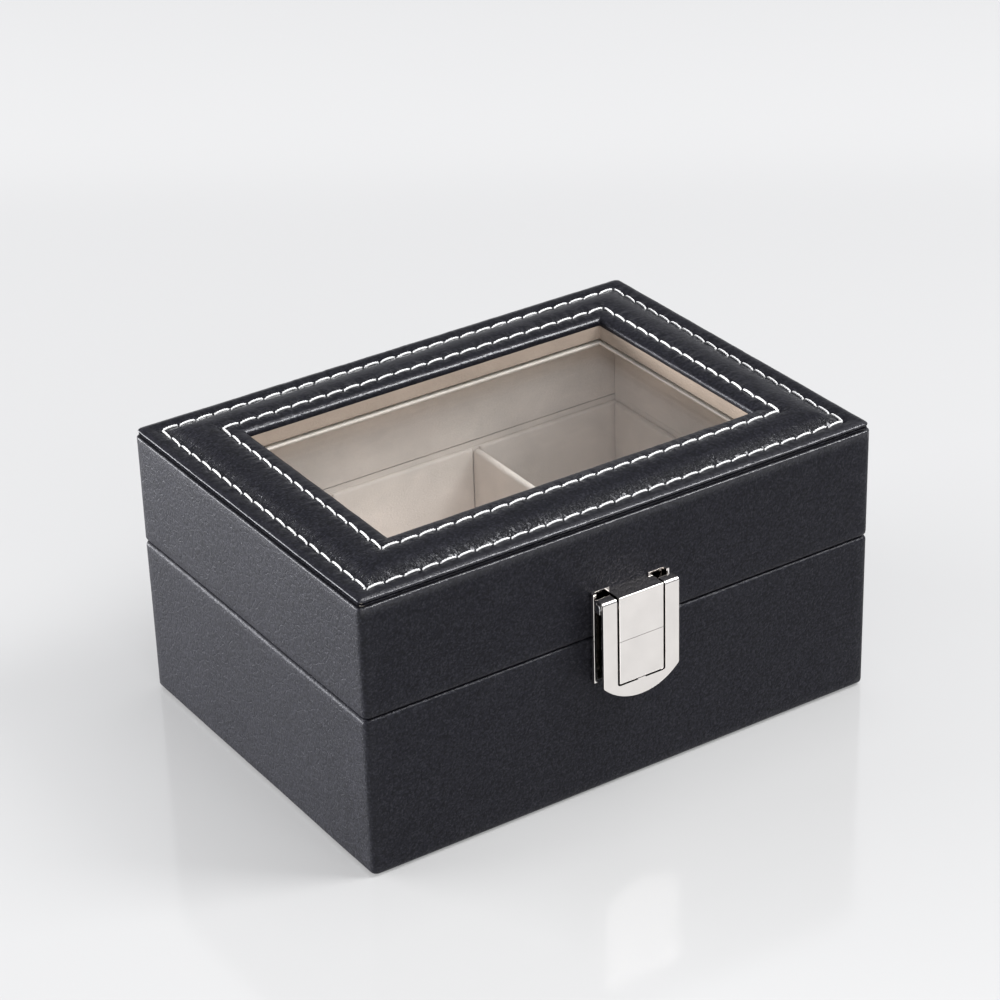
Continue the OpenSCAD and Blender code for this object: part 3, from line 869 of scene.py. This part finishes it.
def stitching(name, inset_wanted, node):
    """A row of slanted stitches that go down into the leather at their holes."""
    draw = random.Random(f"{name}:1")
    verts, faces = [], []
    for inset, along_x, line, holes in stitch_lines():
        if inset != inset_wanted:
            continue
        seam = float(np.interp(inset, *outside_path[len(fold_path):].T))
        for a, b in zip(holes, holes[1:]):
            pitch = b - a
            slant = SLANT + draw.uniform(-SLANT_SPREAD, SLANT_SPREAD)
            lift = LIFT + draw.uniform(-LIFT_SPREAD, LIFT_SPREAD)
            start = a + pitch * (STITCH_GAP + draw.uniform(-GAP_SPREAD, GAP_SPREAD))
            end = b - pitch * (STITCH_GAP + draw.uniform(-GAP_SPREAD, GAP_SPREAD))
            path = []
            for k in range(STITCH_POINTS):
                t = k / (STITCH_POINTS - 1)
                along = start + (end - start) * (0.5 - 0.5 * math.cos(math.pi * t))
                rise = 0.6 * math.sin(math.pi * t) ** 0.35 + 0.4 * math.sin(math.pi * t)
                side = line + slant * (2 * t - 1)
                z = seam - SINK + (SINK + PUCKER * 0.4 + lift) * rise
                path.append((along, side, z) if along_x else (side, along, z))
            phase = draw.uniform(0, math.pi)
            for strand in (0, math.pi):
                v, f = ply(path, phase + strand)
                first = sum(len(x) for x in verts)
                verts.append(v)
                faces += [tuple(first + i for i in face) for face in f]
    return piece(name, np.vstack(verts), faces, "lid", "thread", [node], sharp=80)


stitching("outer_stitches", OUTER_ROW, "outer_stitching")
stitching("inner_stitches", INNER_ROW, "inner_stitching")


# ------------ velvet


BAND_SHEET = 0.35  # the velvet that goes on up the wall behind a base panel
BAND_LAP = 1.2  # how far down behind the panel it starts
GROOVE_CLEARANCE = 0.03
PAD_INSET = 3


def velvet_panel(name, node, body, radius=0.7, rough=0.06, grooves=(), band=None, drop=0.0):
    """A padded panel with rounded edges; a band is the box of the velvet that goes on up the wall."""
    spacing = 2.6
    verts, faces = soft_box(low(node) - (0, 0, drop), high(node), radius, spacing, rough, len(name) * 1.3)
    if band:
        more, more_faces = soft_box(*band, 0.15, spacing, 0.0)
        faces += [tuple(len(verts) + i for i in face) for face in more_faces]
        verts = np.vstack([verts, more])
    thing = piece(name, verts, faces, body, "velvet", [node])
    cut(thing, grooves)
    return thing


dividers = []
for side in ("left", "right"):
    lo, hi = low(f"{side}_divider"), high(f"{side}_divider")
    dividers.append((lo, hi))
    velvet_panel(f"{side}_divider_velvet", f"{side}_divider", "base", 1.1)
for side in ("front", "back", "left", "right"):
    grooves = []
    if side in ("front", "back"):
        grooves = [
            ((lo[0] - GROOVE_CLEARANCE, lo[1], 0), (hi[0] + GROOVE_CLEARANCE, hi[1], BASE_RIM + 1))
            for lo, hi in dividers
        ]
    lo, hi = low(f"base_{side}_lining"), high(f"base_{side}_lining")
    lo[2], hi[2] = BASE_LINING_TOP - BAND_LAP, BASE_RIM - 2 * GAP
    axis = 1 if side in ("front", "back") else 0
    if axis == 0:
        lo[1], hi[1] = low("base_front_lining")[1], high("base_back_lining")[1]
    if side in ("front", "left"):
        hi[axis] = lo[axis] + BAND_SHEET
    else:
        lo[axis] = hi[axis] - BAND_SHEET
    velvet_panel(f"base_{side}_velvet", f"base_{side}_lining", "base", 1.0, 0.06, grooves, (lo, hi))
    velvet_panel(f"lid_{side}_velvet", f"lid_{side}_lining", "lid", 0.45, drop=0.2)
velvet_panel("base_floor_velvet", "base_floor_lining", "base", 0.5, 0.09)


def square_corner(inset):
    return 0.1


def velvet_strip(name, node, side):
    """A mitred strip under the pane; its visible inner face and lower edge are rounded."""
    corners = [
        (PANE_INSET, PANE_BOTTOM - GAP, 0.2),
        (FRAME_WIDTH, PANE_BOTTOM - GAP, 0.3),
        (FRAME_WIDTH, WINDOW_BOARD_BOTTOM + GAP, 0.5),
        (PANE_INSET, WINDOW_BOARD_BOTTOM + GAP, 0.2),
    ]
    outline = split_path(rounded_path(corners, 4), 0.8)
    columns = 60
    verts = []
    for inset, z in outline:
        x, y = HALF_X - inset - GAP, HALF_Y - inset - GAP
        for t in np.linspace(-1, 1, columns):
            if side in ("front", "back"):
                verts.append((t * x, (-y if side == "front" else y), z))
            else:
                verts.append(((-x if side == "left" else x), t * y, z))
    faces = band_faces(len(outline), columns, True, False)
    faces.append(tuple(k * columns for k in range(len(outline))))
    faces.append(tuple(k * columns + columns - 1 for k in reversed(range(len(outline)))))
    return piece(name, verts, faces, "lid", "velvet", [node])


for side in ("front", "back", "left", "right"):
    velvet_strip(f"retainer_{side}_velvet", f"retainer_{side}_strip", side)

TOP_LINING_INNER = FRAME_WIDTH - 1.5
ring_corners = [
    (WALL + 0.03, WINDOW_BOARD_BOTTOM - GAP, 0),
    (WALL + 0.03, TOP_LINING_BOTTOM, 0),
    (TOP_LINING_INNER, TOP_LINING_BOTTOM, 0.45),
    (TOP_LINING_INNER, WINDOW_BOARD_BOTTOM - GAP, 0.35),
]
rows, faces = loft(split_path(rounded_path(ring_corners), 2.5), (60, 44, 2), square_corner)
piece("lid_top_velvet", rows, faces, "lid", "velvet", ["lid_top_lining"])

facing_corners = [
    (BOARD_OPENING, PANE_TOP + GAP, 0),
    (FRAME_WIDTH, PANE_TOP + GAP, 0.35),
    (FRAME_WIDTH, FACING_TOP - GAP, 0.15),
    (BOARD_OPENING, FACING_TOP - GAP, 0),
]
rows, faces = loft(split_path(rounded_path(facing_corners), 0.8), (60, 44, 2), square_corner)
# the band round the window: the lining's velvet darkened, painted shade
piece("window_facing_velvet", rows, faces, "lid", "velvet_painted_shade", ["window_facing"])

pad_x, pad_y = HALF_X - PAD_INSET, HALF_Y - PAD_INSET
verts, faces = soft_box((-pad_x, -pad_y, 0), (pad_x, pad_y, SHELL_BOTTOM), 0.25, 5.0, 0.0)
piece("underside_cloth", verts, faces, "base", "pad_cloth", ["base_underside_pad"])


# ------------ metal


def soften(node, width, segments=3):
    """Rounds a CAD node's edges: its split vertices are joined and its flat faces made whole first."""
    thing = frame["nodes"][node]
    weld = thing.modifiers.new("join", "WELD")
    weld.merge_threshold = 1e-6
    whole = thing.modifiers.new("whole", "DECIMATE")
    whole.decimate_type = "DISSOLVE"
    whole.angle_limit = math.radians(0.5)
    bevel = thing.modifiers.new("edges", "BEVEL")
    bevel.width = width * MM
    bevel.segments = segments
    bevel.limit_method = "ANGLE"
    bevel.angle_limit = math.radians(32)
    bevel.harden_normals = True
    thing.data.shade_smooth()


EASED = {
    0.15: ("hinge_base_leaf_left", "hinge_base_leaf_right", "hinge_lid_leaf_left", "hinge_lid_leaf_right"),
    0.18: ("hinge_pin_left", "hinge_pin_right", "latch_pin"),
    0.1: ("hinge_base_screws", "hinge_lid_screws"),
    0.14: ("latch_base_brads", "latch_lid_brads"),
}
for width, names in EASED.items():
    for name in names:
        soften(name, width)

hasp_joint = next(joint for joint in frame["joints"] if joint["name"] == "hasp_hinge")
PIN_Y, PIN_Z = (c / MM for c in hasp_joint["pos_m"][1:])
LATCH_HALF = high("latch_hasp")[0]
HASP_FRONT = low("latch_hasp")[1]
HASP_BOTTOM = low("latch_hasp")[2]
HASP_SHEET = 0.9
HASP_EDGE = 0.12
TRAY_SHEET = 0.5
TRAY_EDGE = 0.1
FLANGE = 1.7
FLANGE_SHEET = 0.95
BORE = 0.6
BLOCK_HALF = 7.0
BLOCK_FRONT = HASP_FRONT - 0.1
EAR = 0.7  # how far the lid tray's ears go on above its block
ARM_INNER = BLOCK_HALF + 0.6
BAR_TOP = low("latch_base_plate")[2] - 0.5
SHOULDER = BAR_TOP + 0.8
ARM_START = BAR_TOP + 3.0
CURL_START = PIN_Z - 6.0
FIRST_BEND = 5.5  # from CURL_START, along the sheet
MEAN_EYE = PIN_Y - HASP_FRONT - HASP_SHEET / 2


def extrude(outline, axis, start, end, ease=0.0):
    """A closed outline in the other two directions, drawn out along an axis, its end edges eased."""
    bm = bmesh.new()

    def at(p, q, level):
        v = [p, q]
        v.insert(axis, level)
        return Vector(v)

    face = bm.faces.new([bm.verts.new(at(p, q, start)) for p, q in outline])
    made = bmesh.ops.extrude_face_region(bm, geom=[face])
    for v in made["geom"]:
        if isinstance(v, bmesh.types.BMVert):
            v.co[axis] = end
    bmesh.ops.recalc_face_normals(bm, faces=bm.faces)
    if ease:
        rim = [
            e for e in bm.edges
            if e.calc_face_angle() > 1 and abs(e.verts[0].co[axis] - e.verts[1].co[axis]) < 1e-6
        ]
        bmesh.ops.bevel(bm, geom=rim, offset=ease, segments=2, profile=0.5, affect="EDGES")
    verts = [tuple(v.co) for v in bm.verts]
    faces = [tuple(v.index for v in f.verts) for f in bm.faces]
    bm.free()
    return verts, faces


def latch_plate(name, node, body, on_lid):
    """A folded tray with a pressed block in its middle; the block's edge at the parting line is crisp."""
    bottom, top = low(node)[2], high(node)[2]
    half, back = LATCH_HALF, -HALF_Y
    tip, floor = back - FLANGE, back - TRAY_SHEET
    inner = half - FLANGE_SHEET
    tray = rounded_path([
        (-half, back, 0.7), (half, back, 0.7), (half, tip, 0.15), (inner, tip, 0.15), (inner, floor, 0.3),
        (-inner, floor, 0.3), (-inner, tip, 0.15), (-half, tip, 0.15),
    ], 4)
    thing = stored(name, in_metres(*extrude(tray, 2, bottom, top, TRAY_EDGE)))
    block_low = (-BLOCK_HALF, BLOCK_FRONT, bottom - 1 if on_lid else bottom)
    block_high = (BLOCK_HALF, back - 0.2, top - EAR if on_lid else top + 1)
    block = in_metres(*soft_box(block_low, block_high, 0.25, 2.0, 0.0))
    combine(thing, stored("block", block), "UNION")
    if on_lid:
        notch = BLOCK_HALF - 0.8
        cut(thing, [
            ((-half, -80, bottom - 2), (half, 0, bottom)),
            ((-notch, floor - 0.5, block_high[2]), (notch, back + 1, top + 1)),
        ])
        turn = np.linspace(0, 2 * math.pi, 25)[:-1]
        ring = [(PIN_Y + BORE * math.cos(a), PIN_Z + BORE * math.sin(a)) for a in turn]
        bore = in_metres(*extrude(ring, 0, -half - 1, half + 1))
        combine(thing, stored("bore", bore), "DIFFERENCE")
    else:
        cut(thing, [((-half, -80, top), (half, 0, top + 2))])
    bm = bmesh.new()
    bm.from_mesh(thing.data)
    bpy.data.objects.remove(thing)
    bmesh.ops.dissolve_degenerate(bm, dist=1e-6, edges=bm.edges)
    bmesh.ops.recalc_face_normals(bm, faces=bm.faces)
    return finish_piece(name, bm, body, "tray_nickel", [node], 35, True)


def curl_path():
    """The middle of the sheet where it wraps round the pin, with the way out from the pin at each point."""
    m, r = MEAN_EYE, 0.55
    corners = [
        (PIN_Y - m, CURL_START, 0), (PIN_Y - m, PIN_Z + m, r), (PIN_Y + m, PIN_Z + m, r),
        (PIN_Y + m, PIN_Z - m, r), (PIN_Y - m + 1.1, PIN_Z - m, 0),
    ]
    path = np.array(rounded_path(corners, 7))
    arc = arc_length(path)
    along = unit(np.gradient(path, arc, axis=0))
    return arc, path, np.column_stack([-along[:, 1], along[:, 0]])


def hasp_outline():
    """The bar and the bowed lower edge, seen from the front, up to where the two arms start."""
    nib = 1.2
    bow = SHOULDER - HASP_BOTTOM
    bow_radius = (LATCH_HALF**2 + bow**2) / (2 * bow)
    sweep = math.asin(LATCH_HALF / bow_radius)

    def on_bow(share):
        a = sweep * share
        return bow_radius * math.sin(a), HASP_BOTTOM + bow_radius * (1 - math.cos(a))

    opening = [(nib, BAR_TOP, 0), (ARM_INNER, BAR_TOP, 0.8), (ARM_INNER, ARM_START, 0)]
    shoulder = [(ARM_INNER, ARM_START, 0), (LATCH_HALF, ARM_START, 0), (LATCH_HALF, SHOULDER - 0.1, 1.2)]
    right = [(nib, BAR_TOP + 0.3), (nib, BAR_TOP)] + rounded_path(opening, 6)[1:]
    right += rounded_path(shoulder + [(*on_bow(0.85), 0)], 5)[1:]
    right += [on_bow(0.82 * k / 16) for k in range(16, 0, -1)]
    return right + [(0.0, HASP_BOTTOM)] + [(-x, z) for x, z in reversed(right)]


def hasp():
    """A bowed plate with two arms: a flat sheet with eased edges, then its ends curled round the pin."""
    outline = hasp_outline()
    arc, path, outward = curl_path()
    stations = np.linspace(ARM_START, CURL_START, 5)[1:]
    stations = np.concatenate([stations, CURL_START + arc[arc > FIRST_BEND]])
    bm = bmesh.new()
    flat = [bm.verts.new((x, HASP_FRONT, z)) for x, z in outline]
    bm.faces.new(flat)
    for side in (-1, 1):
        roots = [Vector((side * x, HASP_FRONT, ARM_START)) for x in (ARM_INNER, LATCH_HALF)]
        inner, outer = (min(flat, key=lambda v: (v.co - root).length) for root in roots)
        for z in stations:
            a = bm.verts.new((side * ARM_INNER, HASP_FRONT, z))
            b = bm.verts.new((side * LATCH_HALF, HASP_FRONT, z))
            bm.faces.new([inner, outer, b, a] if side > 0 else [outer, inner, a, b])
            inner, outer = a, b
    bmesh.ops.remove_doubles(bm, verts=bm.verts, dist=1e-4)
    bmesh.ops.recalc_face_normals(bm, faces=bm.faces)
    back = bmesh.ops.extrude_face_region(bm, geom=list(bm.faces))
    for v in [g for g in back["geom"] if isinstance(g, bmesh.types.BMVert)]:
        v.co.y = HASP_FRONT + HASP_SHEET
    bmesh.ops.recalc_face_normals(bm, faces=bm.faces)
    # the bar's upper edge stays crisp, so that it catches less light
    edges = [
        e for e in bm.edges
        if len(e.link_faces) == 2 and e.calc_face_angle() > math.radians(60)
        and not all(abs(v.co.z - BAR_TOP) < 0.4 and abs(v.co.x) < ARM_INNER for v in e.verts)
    ]
    bmesh.ops.bevel(bm, geom=edges, offset=HASP_EDGE, segments=3, profile=0.5, affect="EDGES")
    for v in bm.verts:
        if v.co.z > CURL_START:
            s = min(v.co.z - CURL_START, arc[-1])
            across = HASP_FRONT + HASP_SHEET / 2 - v.co.y
            y, z = (np.interp(s, arc, path[:, k]) for k in (0, 1))
            out_y, out_z = (np.interp(s, arc, outward[:, k]) for k in (0, 1))
            v.co.y, v.co.z = y + out_y * across, z + out_z * across
    for v in bm.verts:
        v.co *= MM
    bmesh.ops.recalc_face_normals(bm, faces=bm.faces)
    return finish_piece("hasp", bm, "hasp", "nickel", ["latch_hasp"], 50, True)


latch_plate("latch_base_tray", "latch_base_plate", "base", False)
latch_plate("latch_lid_tray", "latch_lid_plate", "lid", True)
hasp()


# ------------ floor, light and camera


FLOOR_GLOW = 0.25
SKY_COLOUR, SKY_STRENGTH = (0.97, 0.98, 1.03, 1), 0.42


def floor():
    """A pale floor, glossier at low angles, with a faint glow that keeps it pale far from the lights."""
    look = Look("floor")
    matt = look.add("ShaderNodeBsdfDiffuse")
    shade = look.ramp(look.noise(400, 2), [(0.3, (0.395,) * 3), (0.7, (0.405,) * 3)])
    look.join(shade, matt.inputs["Color"])
    gloss = look.add("ShaderNodeBsdfGlossy")
    gloss.inputs["Roughness"].default_value = 0.11
    gloss.inputs["Color"].default_value = (1, 1, 1, 1)
    slope = look.add("ShaderNodeLayerWeight").outputs["Facing"]
    mirrored = look.ramp(slope, [(0.0, 0.01), (0.35, 0.1), (0.524, 0.27), (1.0, 0.33)])
    glow = look.add("ShaderNodeEmission")
    glow.inputs["Strength"].default_value = FLOOR_GLOW
    total = look.add("ShaderNodeAddShader")
    look.join(look.blend(mirrored, matt.outputs[0], gloss.outputs[0]), total.inputs[0])
    look.join(glow.outputs[0], total.inputs[1])
    look.show(total.outputs[0])
    bm = bmesh.new()
    bmesh.ops.create_grid(bm, x_segments=8, y_segments=8, size=6)
    thing = stored("floor", bm)
    thing.data.materials.append(look.material)


def sky():
    world = bpy.data.worlds.new("studio")
    world.use_nodes = True
    background = world.node_tree.nodes["Background"]
    background.inputs["Color"].default_value = SKY_COLOUR
    background.inputs["Strength"].default_value = SKY_STRENGTH
    bpy.context.scene.world = world


def softbox(name, place, aim, size, power):
    """A rectangular light, unseen by the camera; places are in metres and the power in watts."""
    lamp = bpy.data.lights.new(name, "AREA")
    lamp.shape = "RECTANGLE"
    lamp.size, lamp.size_y = size
    lamp.energy = power
    thing = link(name, lamp)
    thing.location = place
    thing.rotation_euler = (Vector(aim) - Vector(place)).to_track_quat("-Z", "Y").to_euler()
    thing.visible_camera = False


def camera():
    """The lens and place that show the box as the photograph does."""
    lens = bpy.data.cameras.new("camera")
    lens.sensor_width = 36
    lens.lens = 114.73
    lens.shift_x, lens.shift_y = 0.0518, 0.0675
    lens.clip_start, lens.clip_end = 0.01, 50
    thing = link("camera", lens)
    thing.location = (-0.41233, -0.63627, 0.47044)
    thing.rotation_euler = [math.radians(a) for a in (60.2964, 2.0216, -32.9323)]
    bpy.context.scene.camera = thing
    bpy.context.scene.view_settings.view_transform = "Standard"


floor()
sky()
softbox("overhead", (0.15, 0.0, 1.1), (0, 0, 0.05), (0.55, 0.45), 3.4)
softbox("low_left", (-0.95, 0.75, 0.13), (0, 0, 0.04), (1.1, 0.24), 44.0)
softbox("key", (0.64, -0.46, 0.98), (0, 0, 0.08), (0.4, 0.6), 12.0)
softbox("fill", (-0.25, -1.15, 0.95), (0, 0, 0.05), (1.2, 1.1), 9.0)
softbox("backdrop", (0.9, 1.3, 0.3), (0, 0, 0.05), (1.6, 0.4), 0.6)
camera()
